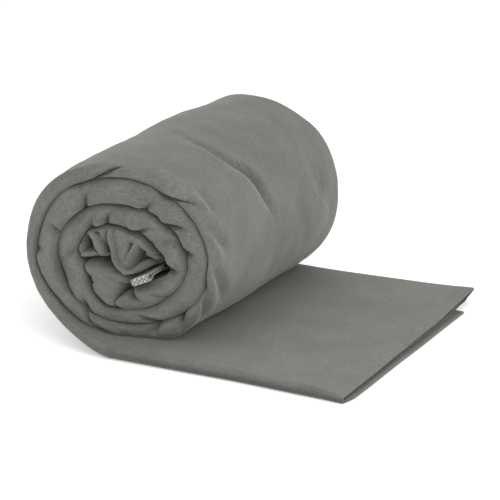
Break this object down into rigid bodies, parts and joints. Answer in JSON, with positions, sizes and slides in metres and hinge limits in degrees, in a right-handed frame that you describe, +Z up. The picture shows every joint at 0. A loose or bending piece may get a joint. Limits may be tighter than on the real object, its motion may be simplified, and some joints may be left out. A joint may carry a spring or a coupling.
{
  "type": "quick dry towel",
  "caption": "Rolled microfibre travel towel with a flat tail that wraps up round the roll, and a hang loop with a snap in its hollow core.",
  "frame": {"origin": "on the resting surface, under the middle of the roll, half way along the roll's length", "axes": "+X points along the flat tail, +Y along the roll's axis away from the end with the hang loop, +Z up"},
  "size_m": [0.1775, 0.167, 0.095],
  "materials": {
    "cloth": "short suede nap, grey green",
    "hem_thread": "matte twisted thread",
    "ribbon": "woven ribbon, silver grey",
    "ribbon_thread": "matte twisted thread",
    "label": "printed satin with no print",
    "snap_shell": "moulded acetal",
    "snap_metal": "plated brass, satin"
  },
  "bodies": {
    "roll": {"rolled_cloth": "cloth", "corner_flap": "cloth", "loop_sewn_end": "ribbon", "loop_bar_tack": "ribbon_thread", "label_sewn_end": "label", "label_stitches": "ribbon_thread"},
    "tail_1": {"tail_cloth_1": "cloth"},
    "tail_2": {"tail_cloth_2": "cloth"},
    "tail_3": {"tail_cloth_3": "cloth"},
    "tail_4": {"tail_cloth_4": "cloth"},
    "tail_5": {"tail_cloth_5": "cloth", "hem_stitches": "hem_thread"},
    "loop": {"loop_fixed_leg": "ribbon", "snap_rivet": "snap_metal", "snap_stud": "snap_metal"},
    "loop_free": {"loop_free_leg": "ribbon", "snap_cap": "snap_shell", "snap_socket": "snap_metal", "snap_spring": "snap_metal"},
    "label": {"label_flap": "label"}
  },
  "joints": [
    {"name": "wrap_1", "type": "hinge", "parent": "roll", "child": "tail_1", "pos_m": [0.01389, 0, 0.0031], "axis": [0, -1, 0], "range_deg": [0, 28]},
    {"name": "wrap_2", "type": "hinge", "parent": "tail_1", "child": "tail_2", "pos_m": [0.03768, 0, 0.0031], "axis": [0, -1, 0], "range_deg": [0, 28]},
    {"name": "wrap_3", "type": "hinge", "parent": "tail_2", "child": "tail_3", "pos_m": [0.06146, 0, 0.0031], "axis": [0, -1, 0], "range_deg": [0, 28]},
    {"name": "wrap_4", "type": "hinge", "parent": "tail_3", "child": "tail_4", "pos_m": [0.08525, 0, 0.0031], "axis": [0, -1, 0], "range_deg": [0, 28]},
    {"name": "wrap_5", "type": "hinge", "parent": "tail_4", "child": "tail_5", "pos_m": [0.10904, 0, 0.0031], "axis": [0, -1, 0], "range_deg": [0, 28]},
    {"name": "loop_swing", "type": "hinge", "parent": "roll", "child": "loop", "pos_m": [0.01219, -0.02, 0.03695], "axis": [-0.9063, 0, -0.4226], "range_deg": [-1, 5]},
    {"name": "snap_open", "type": "hinge", "parent": "loop", "child": "loop_free", "pos_m": [0.01122, -0.068, 0.03904], "axis": [0.9063, 0, 0.4226], "range_deg": [0, 12]},
    {"name": "label_lift", "type": "hinge", "parent": "roll", "child": "label", "pos_m": [0.01312, -0.02, 0.03496], "axis": [0.9063, 0, 0.4226], "range_deg": [0, 20]}
  ],
  "couplings": [
    {"joint": "wrap_2", "follows": "wrap_1", "ratio": 1},
    {"joint": "wrap_3", "follows": "wrap_1", "ratio": 1},
    {"joint": "wrap_4", "follows": "wrap_1", "ratio": 1},
    {"joint": "wrap_5", "follows": "wrap_1", "ratio": 1}
  ]
}
